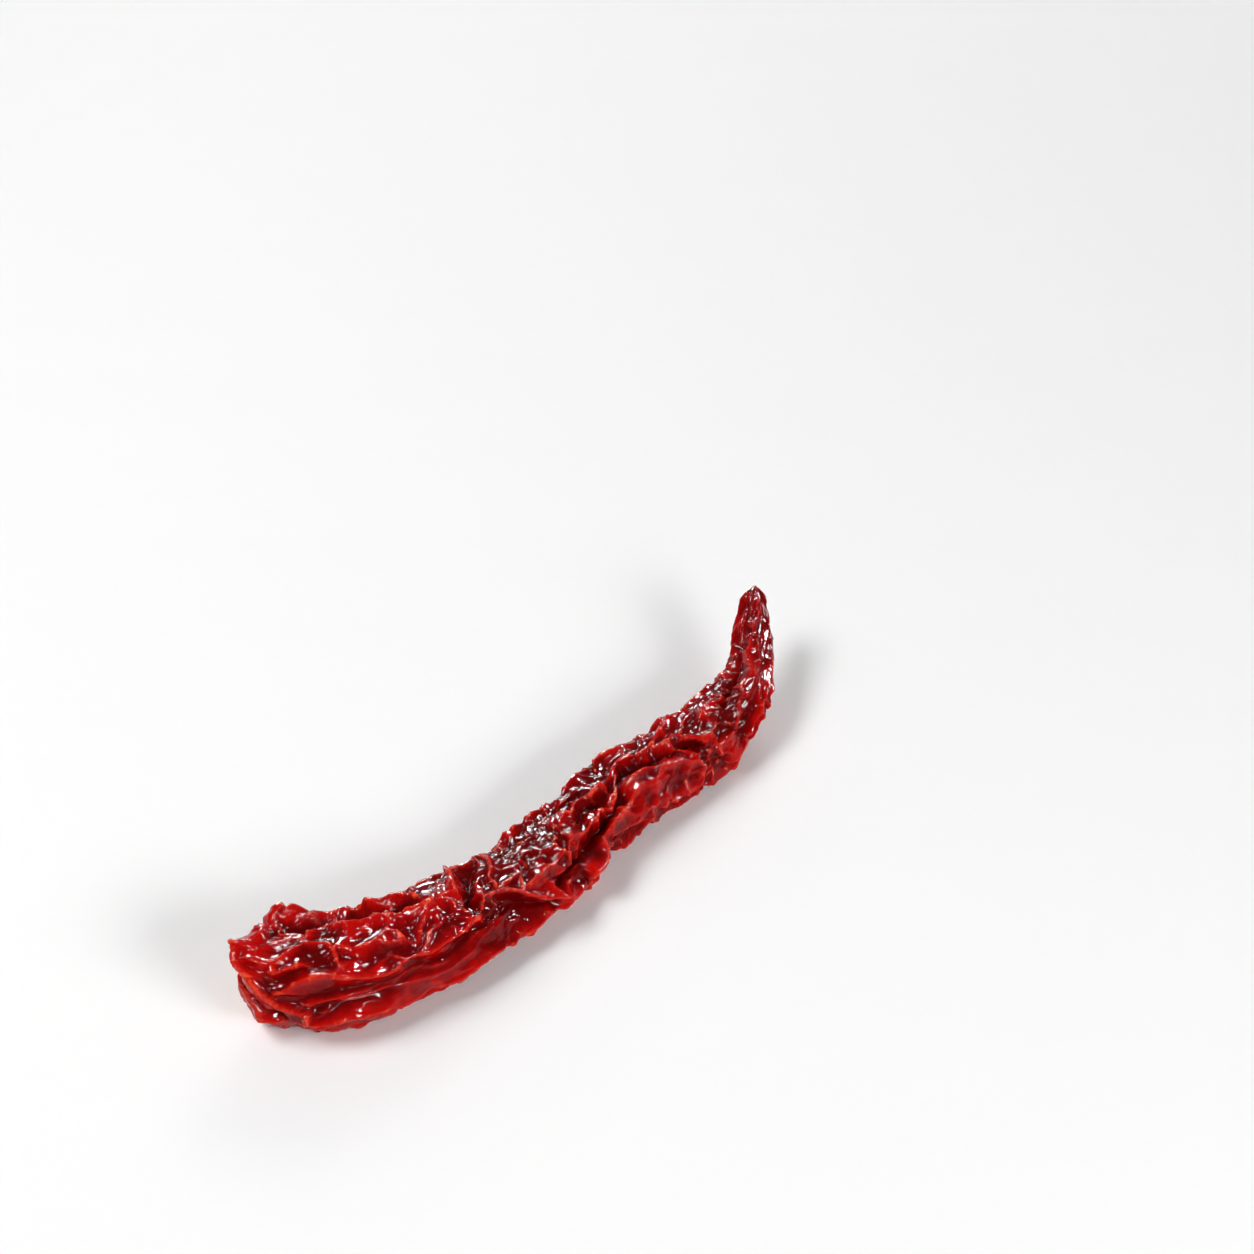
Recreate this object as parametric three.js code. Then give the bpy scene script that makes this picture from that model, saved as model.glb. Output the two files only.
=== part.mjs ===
import * as THREE from 'three';
import { mergeVertices } from 'three/addons/utils/BufferGeometryUtils.js';

// A dried byadgi chilli pod without its stalk, in millimetres, +Z up, lying on the plane z = 0.
// +X runs from the stem end towards the tip, and the origin is under the middle of the pod's box.

// Mesh: rings from the stem end to the tip, and sides round the pod
const rings = 129;
const sides = 46;

// The pod's middle line and its half width and half height there, from the stem end to the tip
const stations = [
  { x: -59.9, y: 8.4, z: 7.6, halfWidth: 8.7, halfHeight: 7.6 },
  { x: -56.1, y: 3.7, z: 7.7, halfWidth: 9.3, halfHeight: 7.8 },
  { x: -47.2, y: -2.5, z: 7.7, halfWidth: 9.4, halfHeight: 7.8 },
  { x: -36.9, y: -5.6, z: 7.2, halfWidth: 8.9, halfHeight: 7.3 },
  { x: -25.6, y: -6.5, z: 6.6, halfWidth: 8.1, halfHeight: 6.7 },
  { x: -14.1, y: -6.3, z: 6.1, halfWidth: 7.5, halfHeight: 6.2 },
  { x: -2.6, y: -5.0, z: 5.9, halfWidth: 7.5, halfHeight: 6.0 },
  { x: 8.9, y: -2.4, z: 5.6, halfWidth: 7.2, halfHeight: 5.7 },
  { x: 20.4, y: -1.3, z: 5.6, halfWidth: 6.9, halfHeight: 5.7 },
  { x: 31.9, y: -0.9, z: 5.7, halfWidth: 6.2, halfHeight: 5.7 },
  { x: 43.4, y: 0.2, z: 6.5, halfWidth: 5.3, halfHeight: 5.1 },
  { x: 53.9, y: 3.8, z: 8.8, halfWidth: 4.0, halfHeight: 3.7 },
  { x: 60.7, y: 10.0, z: 12.0, halfWidth: 2.9, halfHeight: 2.7 },
  { x: 65.6, y: 15.3, z: 15.6, halfWidth: 1.4, halfHeight: 1.3 },
];

// The blunt stem end, cut on a slant, with the round scar that the stalk leaves in its middle
const stemEnd = { depth: 5, arc: 11, slant: 0.5, slantReach: 14, slantAround: -25 };
const scar = { radius: 4.4, edge: 0.6 };

// The pointed tip
const tipEnd = { depth: 3, arc: 3.6 };

// Slow swellings of the dried wall
const swelling = { length: 16, across: 9, height: 0.8, start: 5.3, seed: 71 };

// The relief fades out towards both ends and on the thin part near the tip
const reliefFade = { endRise: 1.15, fullRadius: 6.5, power: 0.6 };

// Crumpling between the folds: size of a facet, how much longer than wide, crest height, crease depth
const crumples = [
  { facet: 7.6, stretch: 1.8, crest: 0.66, crease: 0.5, seed: 3 },
  { facet: 3.6, stretch: 1.5, crest: 0.3, crease: 0.22, seed: 17 },
];

// A facet is a bowl between crests. The lines that the facets grow round are bent by a slow warp, and
// the creases cross them in a pattern of their own.
const warp = { length: 1.3, height: 0.45, seeds: [1, 2, 3] };
const bowl = { width: 0.3, level: 0.4, share: 1.1 };
const crestLine = { width: 0.17, share: 0.75 };
const creaseLine = { scale: 0.83, start: 7.7, seed: 9, width: 0.16, power: 1.3, level: 0.15 };

// Broad facets where the wall stays calmer: place, reach and how much calmer
const calmFacets = [
  { along: 121, around: -38, alongReach: 9, aroundReach: 20, calm: 0.75 },
  { along: 30, around: -72, alongReach: 24, aroundReach: 20, calm: 0.6 },
  { along: 69, around: -62, alongReach: 8, aroundReach: 14, calm: 0.55 },
  { along: 88, around: -60, alongReach: 9, aroundReach: 14, calm: 0.55 },
  { along: 52, around: 20, alongReach: 7, aroundReach: 14, calm: 0.3 },
];

// Folds of the wall. A crest stands up and a crease sinks by its height, which fades over reach on each side.
// A line's points are millimetres along the pod and degrees round from the top, + on the far side.
// They are counted from foldStart.before in front of the stem end, which is reached over foldStart.reach.
const foldStart = { before: 2.6, reach: 20 };
const creasePower = 1.6;
const folds = [
  // stem end
  { crest: 1.6, reach: 0.8, line: [[3, -12], [4, -33], [6, -59], [8, -75], [10, -88], [11, -103]] },
  { crease: 1.6, reach: 0.6, line: [[2, -30], [4, -60], [6, -80], [8, -104]] },
  { crest: 1.1, reach: 0.8, line: [[5, 6], [5, 24], [6, 31], [7, 15], [11, 5]] },
  // long belly fold
  {
    crest: 1.8, reach: 1.3,
    line: [
      [8, -56], [10, -51], [15, -41], [20, -46], [24, -52], [28, -51], [35, -45], [39, -40], [42, -30],
      [45, -22], [49, -32], [52, -49], [55, -68], [60, -86],
    ],
  },
  { crease: 0.9, reach: 1.4, line: [[12, -60], [20, -56], [28, -60], [36, -56], [42, -46], [47, -44]] },
  { crease: 1.4, reach: 1.4, line: [[47, -44], [51, -62], [56, -84]] },
  // rim and valley along the far edge of the top
  { crest: 1.8, reach: 2.2, line: [[2, 44], [6, 47], [11, 50]] },
  { crease: 2.0, reach: 1.6, line: [[6, 23], [8, 21], [11, 17], [15, 24], [19, 33], [23, 39]] },
  { crest: 1.6, reach: 1.4, line: [[4, 52], [12, 50], [20, 54], [27, 46], [32, 35], [35, 12]] },
  { crest: 1.6, reach: 1.0, line: [[12, 8], [15, 19], [18, 11], [22, 15], [28, 14], [32, 7], [38, -4]] },
  { crease: 1.2, reach: 1.0, line: [[22, 26], [27, 27], [31, 20], [36, 14]] },
  // panel between them
  {
    crest: 1.1, reach: 0.8,
    line: [[5, -20], [8, -25], [10, -14], [12, -5], [15, -11], [17, -17], [18, -34]],
  },
  { crest: 1.0, reach: 0.7, line: [[8, -25], [8, -36], [11, -29], [14, -33]] },
  { crest: 1.1, reach: 0.8, line: [[17, -13], [20, -17], [23, -14], [25, -24], [27, -24], [27, -10]] },
  // near flank of the stem end
  { crest: 0.8, reach: 0.9, line: [[11, -74], [17, -72], [22, -61], [27, -63], [33, -66]] },
  { crest: 0.7, reach: 0.9, line: [[13, -92], [17, -78], [22, -72], [30, -80], [38, -78]] },
  { crease: 0.8, reach: 1.0, line: [[14, -82], [18, -88], [26, -72]] },
  // waist, where short folds cross the pod
  { crest: 1.9, reach: 1.2, line: [[45, 62], [42, 22], [40, 6], [37, 3]] },
  { crease: 1.6, reach: 1.2, line: [[49, 40], [45, 15], [42, -8]] },
  { crest: 1.4, reach: 1.0, line: [[53, 40], [52, 20], [49, -3], [48, -20]] },
  {
    crest: 1.6, reach: 1.0,
    line: [
      [48, -25], [53, -22], [52, -48], [55, -39], [60, -34], [63, -25], [64, -36], [66, -22], [70, -31],
      [75, -24], [78, -27], [81, -18], [84, 2],
    ],
  },
  // long pleats of the middle
  { crease: 2.3, reach: 1.2, line: [[60, -62], [66, -57], [70, -50], [74, -41], [79, -31], [82, -24]] },
  { crest: 1.2, reach: 0.9, line: [[76, -38], [83, -23], [89, -19], [92, -34]] },
  {
    crest: 1.4, reach: 1.0,
    line: [[67, 0], [70, 3], [72, -6], [74, 5], [81, 3], [85, 12], [90, 13], [94, 6], [98, -12]],
  },
  { crease: 1.7, reach: 1.0, line: [[72, -14], [79, -8], [86, -6], [93, -12], [97, -22]] },
  { crest: 1.3, reach: 0.9, line: [[92, 7], [97, 18], [102, 34], [106, 44]] },
  {
    crest: 1.7, reach: 1.1,
    line: [
      [66, -82], [70, -77], [72, -54], [78, -46], [84, -33], [90, -41], [96, -38], [99, -52], [100, -70],
    ],
  },
  // pocket where the pleats end
  { crease: 2.6, reach: 0.7, line: [[98, -15], [100, -27], [101, -40]] },
  { crest: 1.1, reach: 0.7, line: [[97, -40], [100, -47], [103, -39], [107, -34], [111, -46]] },
  { crest: 1.0, reach: 0.7, line: [[102, -64], [104, -55], [108, -61], [110, -57], [113, -66]] },
  { crest: 1.0, reach: 0.8, line: [[106, -6], [108, -1], [110, 8], [114, 17]] },
  // edges of the broad facet near the tip
  {
    crest: 1.8, reach: 1.0,
    line: [[111, -48], [114, -30], [117, -20], [121, 0], [126, 18], [131, 9], [137, -10], [144, -30]],
  },
  { crease: 1.7, reach: 0.9, line: [[112, 4], [117, 14], [123, 38], [128, 62]] },
  { crest: 1.3, reach: 0.9, line: [[113, -82], [120, -76], [128, -72], [136, -60], [146, -78]] },
  // long edges of the near and far sides
  {
    crest: 1.6, reach: 1.2,
    line: [
      [12, -103], [24, -106], [36, -103], [48, -100], [60, -97], [76, -103], [92, -96], [108, -101],
      [122, -94],
    ],
  },
  {
    crest: 1.3, reach: 1.2,
    line: [[36, 58], [50, 50], [62, 60], [78, 52], [92, 60], [108, 54], [124, 62]],
  },
  // far side and underside
  {
    crest: 1.9, reach: 1.4,
    line: [
      [8, 88], [20, 96], [34, 84], [48, 98], [60, 88], [74, 100], [88, 84], [104, 96], [118, 86], [138, 94],
    ],
  },
  {
    crease: 2.3, reach: 1.5,
    line: [
      [6, 118], [18, 112], [30, 122], [44, 108], [58, 124], [70, 112], [86, 122], [100, 108], [116, 118],
    ],
  },
  {
    crest: 1.4, reach: 1.2,
    line: [[10, 140], [24, 146], [40, 138], [56, 150], [72, 136], [90, 148], [108, 140]],
  },
  {
    crease: 2.2, reach: 1.5,
    line: [[12, 182], [28, 190], [44, 178], [62, 188], [80, 180], [98, 190], [114, 184]],
  },
  {
    crest: 1.4, reach: 1.2,
    line: [[12, 228], [26, 222], [42, 230], [58, 218], [76, 232], [92, 222], [110, 230]],
  },
  { crease: 1.9, reach: 1.3, line: [[30, 250], [44, 244], [60, 252], [78, 262], [92, 252], [106, 262]] },
];

// How far a fold's line strays from its points, slowly and quickly
const stray = [
  { length: 5, shift: 0.9, alongSeed: 5, acrossSeed: 25 },
  { length: 2.2, shift: 0.35, alongSeed: 6, acrossSeed: 26 },
];
const leastStrayRadius = 1.5;

// A fixed random number between 0 and 1 for a grid point
function hash(i, j, k, seed) {
  const value = Math.sin(i * 127.1 + j * 311.7 + k * 74.7 + seed * 53.3) * 43758.5453;
  return value - Math.floor(value);
}

function smooth(value) {
  const v = THREE.MathUtils.clamp(value, 0, 1);
  return v * v * (3 - 2 * v);
}

// Smooth random value between -1 and 1
function noise(x, y, z, seed) {
  const i = Math.floor(x);
  const j = Math.floor(y);
  const k = Math.floor(z);
  const u = smooth(x - i);
  const v = smooth(y - j);
  const w = smooth(z - k);
  let total = 0;
  for (const dx of [0, 1]) {
    for (const dy of [0, 1]) {
      for (const dz of [0, 1]) {
        const weight = (dx ? u : 1 - u) * (dy ? v : 1 - v) * (dz ? w : 1 - w);
        total += weight * hash(i + dx, j + dy, k + dz, seed);
      }
    }
  }
  return total * 2 - 1;
}

// Distances to the nearest and second nearest of the scattered points that the facets grow round
function facetDistances(x, y, z, seed) {
  const i = Math.floor(x);
  const j = Math.floor(y);
  const k = Math.floor(z);
  let nearest = 9;
  let second = 9;
  for (let a = i - 1; a <= i + 1; a++) {
    for (let b = j - 1; b <= j + 1; b++) {
      for (let c = k - 1; c <= k + 1; c++) {
        const dx = a + hash(a, b, c, seed) - x;
        const dy = b + hash(a, b, c, seed + 1) - y;
        const dz = c + hash(a, b, c, seed + 2) - z;
        const distance = Math.hypot(dx, dy, dz);
        second = Math.min(second, Math.max(nearest, distance));
        nearest = Math.min(nearest, distance);
      }
    }
  }
  return { nearest, second };
}

// Degrees from one direction round the pod to another, between -180 and 180
function turn(from, to) {
  return THREE.MathUtils.euclideanModulo(to - from + 180, 360) - 180;
}

// Distance along the wall from a place to a fold's line
function lineDistance(along, around, radius, line) {
  let best = 99;
  for (let i = 0; i < line.length - 1; i++) {
    const [startAlong, startAround] = line[i];
    const [endAlong, endAround] = line[i + 1];
    const toX = startAlong - along;
    const toY = THREE.MathUtils.degToRad(turn(around, startAround)) * radius;
    const stepX = endAlong - startAlong;
    const stepY = THREE.MathUtils.degToRad(endAround - startAround) * radius;
    const share = -(toX * stepX + toY * stepY) / (stepX * stepX + stepY * stepY);
    const t = THREE.MathUtils.clamp(share, 0, 1);
    best = Math.min(best, Math.hypot(toX + stepX * t, toY + stepY * t));
  }
  return best;
}

// Uniform Catmull-Rom curve through one column of the stations
function follow(column, t) {
  const last = stations.length - 1;
  const i = THREE.MathUtils.clamp(Math.floor(t), 0, last - 1);
  const f = t - i;
  const p1 = stations[i][column];
  const p2 = stations[i + 1][column];
  const p0 = i > 0 ? stations[i - 1][column] : 2 * p1 - p2;
  const p3 = i < last - 1 ? stations[i + 2][column] : 2 * p2 - p1;
  const curve = 2 * p0 - 5 * p1 + 4 * p2 - p3;
  return 0.5 * (2 * p1 + (p2 - p0) * f + curve * f ** 2 + (3 * p1 - p0 - 3 * p2 + p3) * f ** 3);
}

function middlePoint(t) {
  return new THREE.Vector3(follow('x', t), follow('y', t), follow('z', t));
}

// Length of the middle line up to evenly spaced places on it
const lengthSteps = 3000;
const lengths = [0];
for (let i = 1; i <= lengthSteps; i++) {
  const scale = (stations.length - 1) / lengthSteps;
  lengths.push(lengths[i - 1] + middlePoint(i * scale).distanceTo(middlePoint((i - 1) * scale)));
}
const podLength = lengths[lengthSteps];

// The place on the middle line, counted in stations, a given length from the stem end
function placeAt(along) {
  let low = 0;
  let high = lengthSteps;
  while (high - low > 1) {
    const middle = (low + high) >> 1;
    if (lengths[middle] <= along) low = middle;
    else high = middle;
  }
  const share = (along - lengths[low]) / (lengths[high] - lengths[low]);
  return ((low + share) * (stations.length - 1)) / lengthSteps;
}

// How much the crumpling shows at a place, from 0 to 1
function crumpleShare(along, around) {
  let share = 1;
  for (const facet of calmFacets) {
    const a = (along - facet.along) / facet.alongReach;
    const b = turn(facet.around, around) / facet.aroundReach;
    share *= 1 - facet.calm * Math.exp(-a * a - b * b);
  }
  return share;
}

// Height of the folds at a place: the tallest crest there less the deepest crease
function foldHeight(along, around, radius, x, y, z) {
  let strayAlong = 0;
  let strayAcross = 0;
  for (const { length, shift, alongSeed, acrossSeed } of stray) {
    strayAlong += shift * noise(x / length, y / length, z / length, alongSeed);
    strayAcross += shift * noise(x / length, y / length, z / length, acrossSeed);
  }
  const a = along + strayAlong;
  const b = around + THREE.MathUtils.radToDeg(strayAcross / Math.max(radius, leastStrayRadius));
  let crest = 0;
  let crease = 0;
  for (const fold of folds) {
    const distance = lineDistance(a, b, radius, fold.line) / fold.reach;
    if (fold.crest) crest = Math.max(crest, fold.crest * Math.exp(-distance));
    else crease = Math.max(crease, fold.crease * Math.exp(-(distance ** creasePower)));
  }
  return crest - crease;
}

// Height of one size of crumpling: bowls that meet in crests, crossed by finer creases
function crumpleHeight({ facet, stretch, crest, crease, seed }, x, y, z) {
  const slow = facet * warp.length;
  const shifts = warp.seeds.map((i) => warp.height * noise(x / slow, y / slow, z / slow, seed + i));
  const u = x / (facet * stretch) + shifts[0];
  const v = y / facet + shifts[1];
  const w = z / facet + shifts[2];
  const up = facetDistances(u, v, w, seed);
  const hollow = up.nearest ** 2 / (up.nearest ** 2 + bowl.width) - bowl.level;
  const edge = Math.exp(-(up.second - up.nearest) / crestLine.width);
  const [downU, downV, downW] = [u, v, w].map((value) => value * creaseLine.scale + creaseLine.start);
  const down = facetDistances(downU, downV, downW, seed + creaseLine.seed);
  const line = Math.exp(-(((down.second - down.nearest) / creaseLine.width) ** creaseLine.power));
  return crest * (crestLine.share * edge + bowl.share * hollow) - crease * (line - creaseLine.level);
}

// Step to each side, in stations, that gives the middle line its direction
const tangentStep = 0.02;

// The pod's surface: share runs from 0 at the stem end's middle to 1 at the tip, around in degrees
function podPoint(share, around) {
  const body = podLength - stemEnd.depth - tipEnd.depth;
  const wholeArc = stemEnd.arc + body + tipEnd.arc;
  const arc = share * wholeArc;
  const head = (THREE.MathUtils.clamp(arc / stemEnd.arc, 0, 1) * Math.PI) / 2;
  const tail = (THREE.MathUtils.clamp((wholeArc - arc) / tipEnd.arc, 0, 1) * Math.PI) / 2;
  const fullness = Math.sin(head) * Math.sin(tail);
  const bodyLength = THREE.MathUtils.clamp(arc - stemEnd.arc, 0, body);
  const tipLength = tipEnd.depth * Math.cos(tail);
  const along = stemEnd.depth * (1 - Math.cos(head)) + bodyLength + tipLength;

  const place = placeAt(along);
  const middle = middlePoint(place);
  const halfWidth = follow('halfWidth', place);
  const halfHeight = follow('halfHeight', place);
  const radius = Math.sqrt(halfWidth * halfHeight);
  const ahead = middlePoint(Math.min(place + tangentStep, stations.length - 1));
  const tangent = ahead.sub(middlePoint(Math.max(place - tangentStep, 0))).normalize();
  const side = new THREE.Vector3(0, 0, 1).cross(tangent).normalize();
  const up = tangent.clone().cross(side);

  const angle = THREE.MathUtils.degToRad(around);
  const across = halfWidth * fullness * Math.sin(angle);
  const rise = halfHeight * fullness * Math.cos(angle);
  const { length, across: width, height, start, seed } = swelling;
  let relief = height * noise(along / length + start, across / width + start, rise / width + start, seed);
  const foldAlong = along + foldStart.before * smooth(along / foldStart.reach);
  relief += foldHeight(foldAlong, around, radius, along, across, rise);
  const crumpleScale = crumpleShare(foldAlong, around);
  for (const crumple of crumples) {
    relief += crumpleScale * crumpleHeight(crumple, along, across, rise);
  }
  const outsideScar = (radius * fullness - scar.radius) / scar.edge + 0.5;
  relief *= arc < stemEnd.arc ? smooth(outsideScar) : 1;
  relief *= smooth(fullness * reliefFade.endRise);
  relief *= Math.min(1, radius / reliefFade.fullRadius) ** reliefFade.power;

  const outward = up.clone().multiplyScalar(Math.cos(angle) / halfHeight);
  outward.addScaledVector(side, Math.sin(angle) / halfWidth).normalize();
  outward.multiplyScalar(fullness);
  outward.addScaledVector(tangent, Math.cos(tail) - Math.cos(head)).normalize();
  const offset = up.clone().multiplyScalar(rise).addScaledVector(side, across);
  offset.addScaledVector(outward, relief);

  const slantAngle = THREE.MathUtils.degToRad(stemEnd.slantAround);
  const slantRise = offset.dot(up) * Math.cos(slantAngle) + offset.dot(side) * Math.sin(slantAngle);
  const slantShare = stemEnd.slant * (1 - smooth(along / stemEnd.slantReach));
  const point = middle.add(offset).addScaledVector(tangent, -slantShare * slantRise);
  point.z = Math.max(point.z, 0);
  return point;
}

function podGeometry() {
  const sphere = new THREE.SphereGeometry(1, sides, rings);
  sphere.deleteAttribute('uv');
  sphere.deleteAttribute('normal');
  const geometry = mergeVertices(sphere);
  const position = geometry.getAttribute('position');
  for (let i = 0; i < position.count; i++) {
    const share = Math.acos(THREE.MathUtils.clamp(position.getY(i), -1, 1)) / Math.PI;
    const around = THREE.MathUtils.radToDeg(Math.atan2(position.getX(i), position.getZ(i)));
    const point = podPoint(share, around);
    position.setXYZ(i, point.x, point.y, point.z);
  }
  geometry.computeVertexNormals();
  return geometry;
}

const pod = new THREE.Mesh(
  podGeometry(),
  new THREE.MeshStandardMaterial({ color: 0x7d0f12, roughness: 0.3, metalness: 0 }),
);
pod.name = 'pod';

const chilli = new THREE.Group();
chilli.add(pod);

export default chilli;
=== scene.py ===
import math

import bmesh
import bpy
import numpy as np
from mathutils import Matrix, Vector


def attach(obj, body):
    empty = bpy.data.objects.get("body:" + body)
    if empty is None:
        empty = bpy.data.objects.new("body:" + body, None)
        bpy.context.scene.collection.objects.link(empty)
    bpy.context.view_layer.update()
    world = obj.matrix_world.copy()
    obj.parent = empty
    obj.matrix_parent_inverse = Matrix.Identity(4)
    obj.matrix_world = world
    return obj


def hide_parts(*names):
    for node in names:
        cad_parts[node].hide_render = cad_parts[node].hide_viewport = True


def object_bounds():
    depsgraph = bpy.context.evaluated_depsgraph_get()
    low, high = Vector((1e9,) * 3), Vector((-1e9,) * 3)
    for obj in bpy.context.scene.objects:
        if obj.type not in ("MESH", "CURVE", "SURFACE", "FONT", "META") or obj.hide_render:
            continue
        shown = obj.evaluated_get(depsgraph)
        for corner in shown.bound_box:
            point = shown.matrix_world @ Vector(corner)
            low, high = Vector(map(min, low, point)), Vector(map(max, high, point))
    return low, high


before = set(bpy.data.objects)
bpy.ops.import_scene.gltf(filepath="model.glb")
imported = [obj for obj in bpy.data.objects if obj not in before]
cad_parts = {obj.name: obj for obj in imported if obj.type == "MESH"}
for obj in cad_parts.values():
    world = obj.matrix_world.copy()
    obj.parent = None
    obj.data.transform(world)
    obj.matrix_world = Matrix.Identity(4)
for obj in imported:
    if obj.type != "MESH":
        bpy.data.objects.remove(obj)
cadLow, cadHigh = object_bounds()

# A dried byadgi chilli pod without its stalk. The wall's form is worked out in millimetres and the
# mesh is in metres. +X runs from the stem end to the tip and +Y to the far side.
metresPerMm = 0.001

# The pod's form: what a user would change about its size, its ends and its wrinkles
podForm = {
    "rings": 400,  # from the stem end to the tip
    "sides": 216,  # round the pod
    "stemDepth": 5.0,  # how far the blunt end bulges
    "stemArc": 11.0,  # length of wall from the scar's middle to the full width
    "stemSlant": 0.5,  # how far the end leans, as a slope
    "slantReach": 14.0,
    "slantAround": -25.0,
    "foldsBefore": 2.6,  # the folds are counted from this far in front of the stem end
    "foldsReach": 20.0,
    "scarRadius": 4.4,
    "scarEdge": 0.6,  # width of the scar's soft edge
    "tipDepth": 3.0,
    "tipArc": 3.6,
    "swellLength": 16.0,
    "swellAcross": 9.0,
    "swellHeight": 0.8,
    "swellStart": 5.3,
    "swellSeed": 71,
    "endRise": 1.15,  # how soon the relief is free away from the two ends
    "fullRadius": 6.5,  # a thinner pod has a lower relief
    "reliefPower": 0.6,
}
lineSteps = 3000  # steps in which the middle line is measured
tangentStep = 0.02  # in stations, to each side
pastStemEnd = 9  # added to the distance from the scar, so that only the stem end has one

# x, y, z of the pod's middle line, then its half width and half height there
stations = np.array([
    (-59.9, 8.4, 7.6, 8.7, 7.6),
    (-56.1, 3.7, 7.7, 9.3, 7.8),
    (-47.2, -2.5, 7.7, 9.4, 7.8),
    (-36.9, -5.6, 7.2, 8.9, 7.3),
    (-25.6, -6.5, 6.6, 8.1, 6.7),
    (-14.1, -6.3, 6.1, 7.5, 6.2),
    (-2.6, -5.0, 5.9, 7.5, 6.0),
    (8.9, -2.4, 5.6, 7.2, 5.7),
    (20.4, -1.3, 5.6, 6.9, 5.7),
    (31.9, -0.9, 5.7, 6.2, 5.7),
    (43.4, 0.2, 6.5, 5.3, 5.1),
    (53.9, 3.8, 8.8, 4.0, 3.7),
    (60.7, 10.0, 12.0, 2.9, 2.7),
    (65.6, 15.3, 15.6, 1.4, 1.3),
])

# Folds of the wall: height of the crest (below 0 a crease), reach on each side, and the line's points
# as millimetres from the stem end and degrees round from the top, + on the far side
stemFolds = [
    (1.6, 0.8, [(3, -12), (4, -33), (6, -59), (8, -75), (10, -88), (11, -103)]),
    (-1.6, 0.6, [(2, -30), (4, -60), (6, -80), (8, -104)]),
    (1.1, 0.8, [(5, 6), (5, 24), (6, 31), (7, 15), (11, 5)]),
    (1.8, 1.3, [(8, -56), (10, -51), (15, -41), (20, -46), (24, -52), (28, -51), (35, -45), (39, -40),
                (42, -30), (45, -22), (49, -32), (52, -49), (55, -68), (60, -86)]),
    (-0.9, 1.4, [(12, -60), (20, -56), (28, -60), (36, -56), (42, -46), (47, -44)]),
    (-1.4, 1.4, [(47, -44), (51, -62), (56, -84)]),
    (1.8, 2.2, [(2, 44), (6, 47), (11, 50)]),
    (-2.0, 1.6, [(6, 23), (8, 21), (11, 17), (15, 24), (19, 33), (23, 39)]),
    (1.6, 1.4, [(4, 52), (12, 50), (20, 54), (27, 46), (32, 35), (35, 12)]),
    (1.6, 1.0, [(12, 8), (15, 19), (18, 11), (22, 15), (28, 14), (32, 7), (38, -4)]),
    (-1.2, 1.0, [(22, 26), (27, 27), (31, 20), (36, 14)]),
    (1.1, 0.8, [(5, -20), (8, -25), (10, -14), (12, -5), (15, -11), (17, -17), (18, -34)]),
    (1.0, 0.7, [(8, -25), (8, -36), (11, -29), (14, -33)]),
    (1.1, 0.8, [(17, -13), (20, -17), (23, -14), (25, -24), (27, -24), (27, -10)]),
    (0.8, 0.9, [(11, -74), (17, -72), (22, -61), (27, -63), (33, -66)]),
    (0.7, 0.9, [(13, -92), (17, -78), (22, -72), (30, -80), (38, -78)]),
    (-0.8, 1.0, [(14, -82), (18, -88), (26, -72)]),
]
waistFolds = [
    (1.9, 1.2, [(45, 62), (42, 22), (40, 6), (37, 3)]),
    (-1.6, 1.2, [(49, 40), (45, 15), (42, -8)]),
    (1.4, 1.0, [(53, 40), (52, 20), (49, -3), (48, -20)]),
    (1.6, 1.0, [(48, -25), (53, -22), (52, -48), (55, -39), (60, -34), (63, -25), (64, -36), (66, -22),
                (70, -31), (75, -24), (78, -27), (81, -18), (84, 2)]),
]
middlePleats = [
    (-2.3, 1.2, [(60, -62), (66, -57), (70, -50), (74, -41), (79, -31), (82, -24)]),
    (1.2, 0.9, [(76, -38), (83, -23), (89, -19), (92, -34)]),
    (1.4, 1.0, [(67, 0), (70, 3), (72, -6), (74, 5), (81, 3), (85, 12), (90, 13), (94, 6), (98, -12)]),
    (-1.7, 1.0, [(72, -14), (79, -8), (86, -6), (93, -12), (97, -22)]),
    (1.3, 0.9, [(92, 7), (97, 18), (102, 34), (106, 44)]),
    (1.7, 1.1, [(66, -82), (70, -77), (72, -54), (78, -46), (84, -33), (90, -41), (96, -38), (99, -52),
                (100, -70)]),
    (-2.6, 0.7, [(98, -15), (100, -27), (101, -40)]),
    (1.1, 0.7, [(97, -40), (100, -47), (103, -39), (107, -34), (111, -46)]),
    (1.0, 0.7, [(102, -64), (104, -55), (108, -61), (110, -57), (113, -66)]),
    (1.0, 0.8, [(106, -6), (108, -1), (110, 8), (114, 17)]),
]
tipFolds = [
    (1.8, 1.0, [(111, -48), (114, -30), (117, -20), (121, 0), (126, 18), (131, 9), (137, -10), (144, -30)]),
    (-1.7, 0.9, [(112, 4), (117, 14), (123, 38), (128, 62)]),
    (1.3, 0.9, [(113, -82), (120, -76), (128, -72), (136, -60), (146, -78)]),
]
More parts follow.
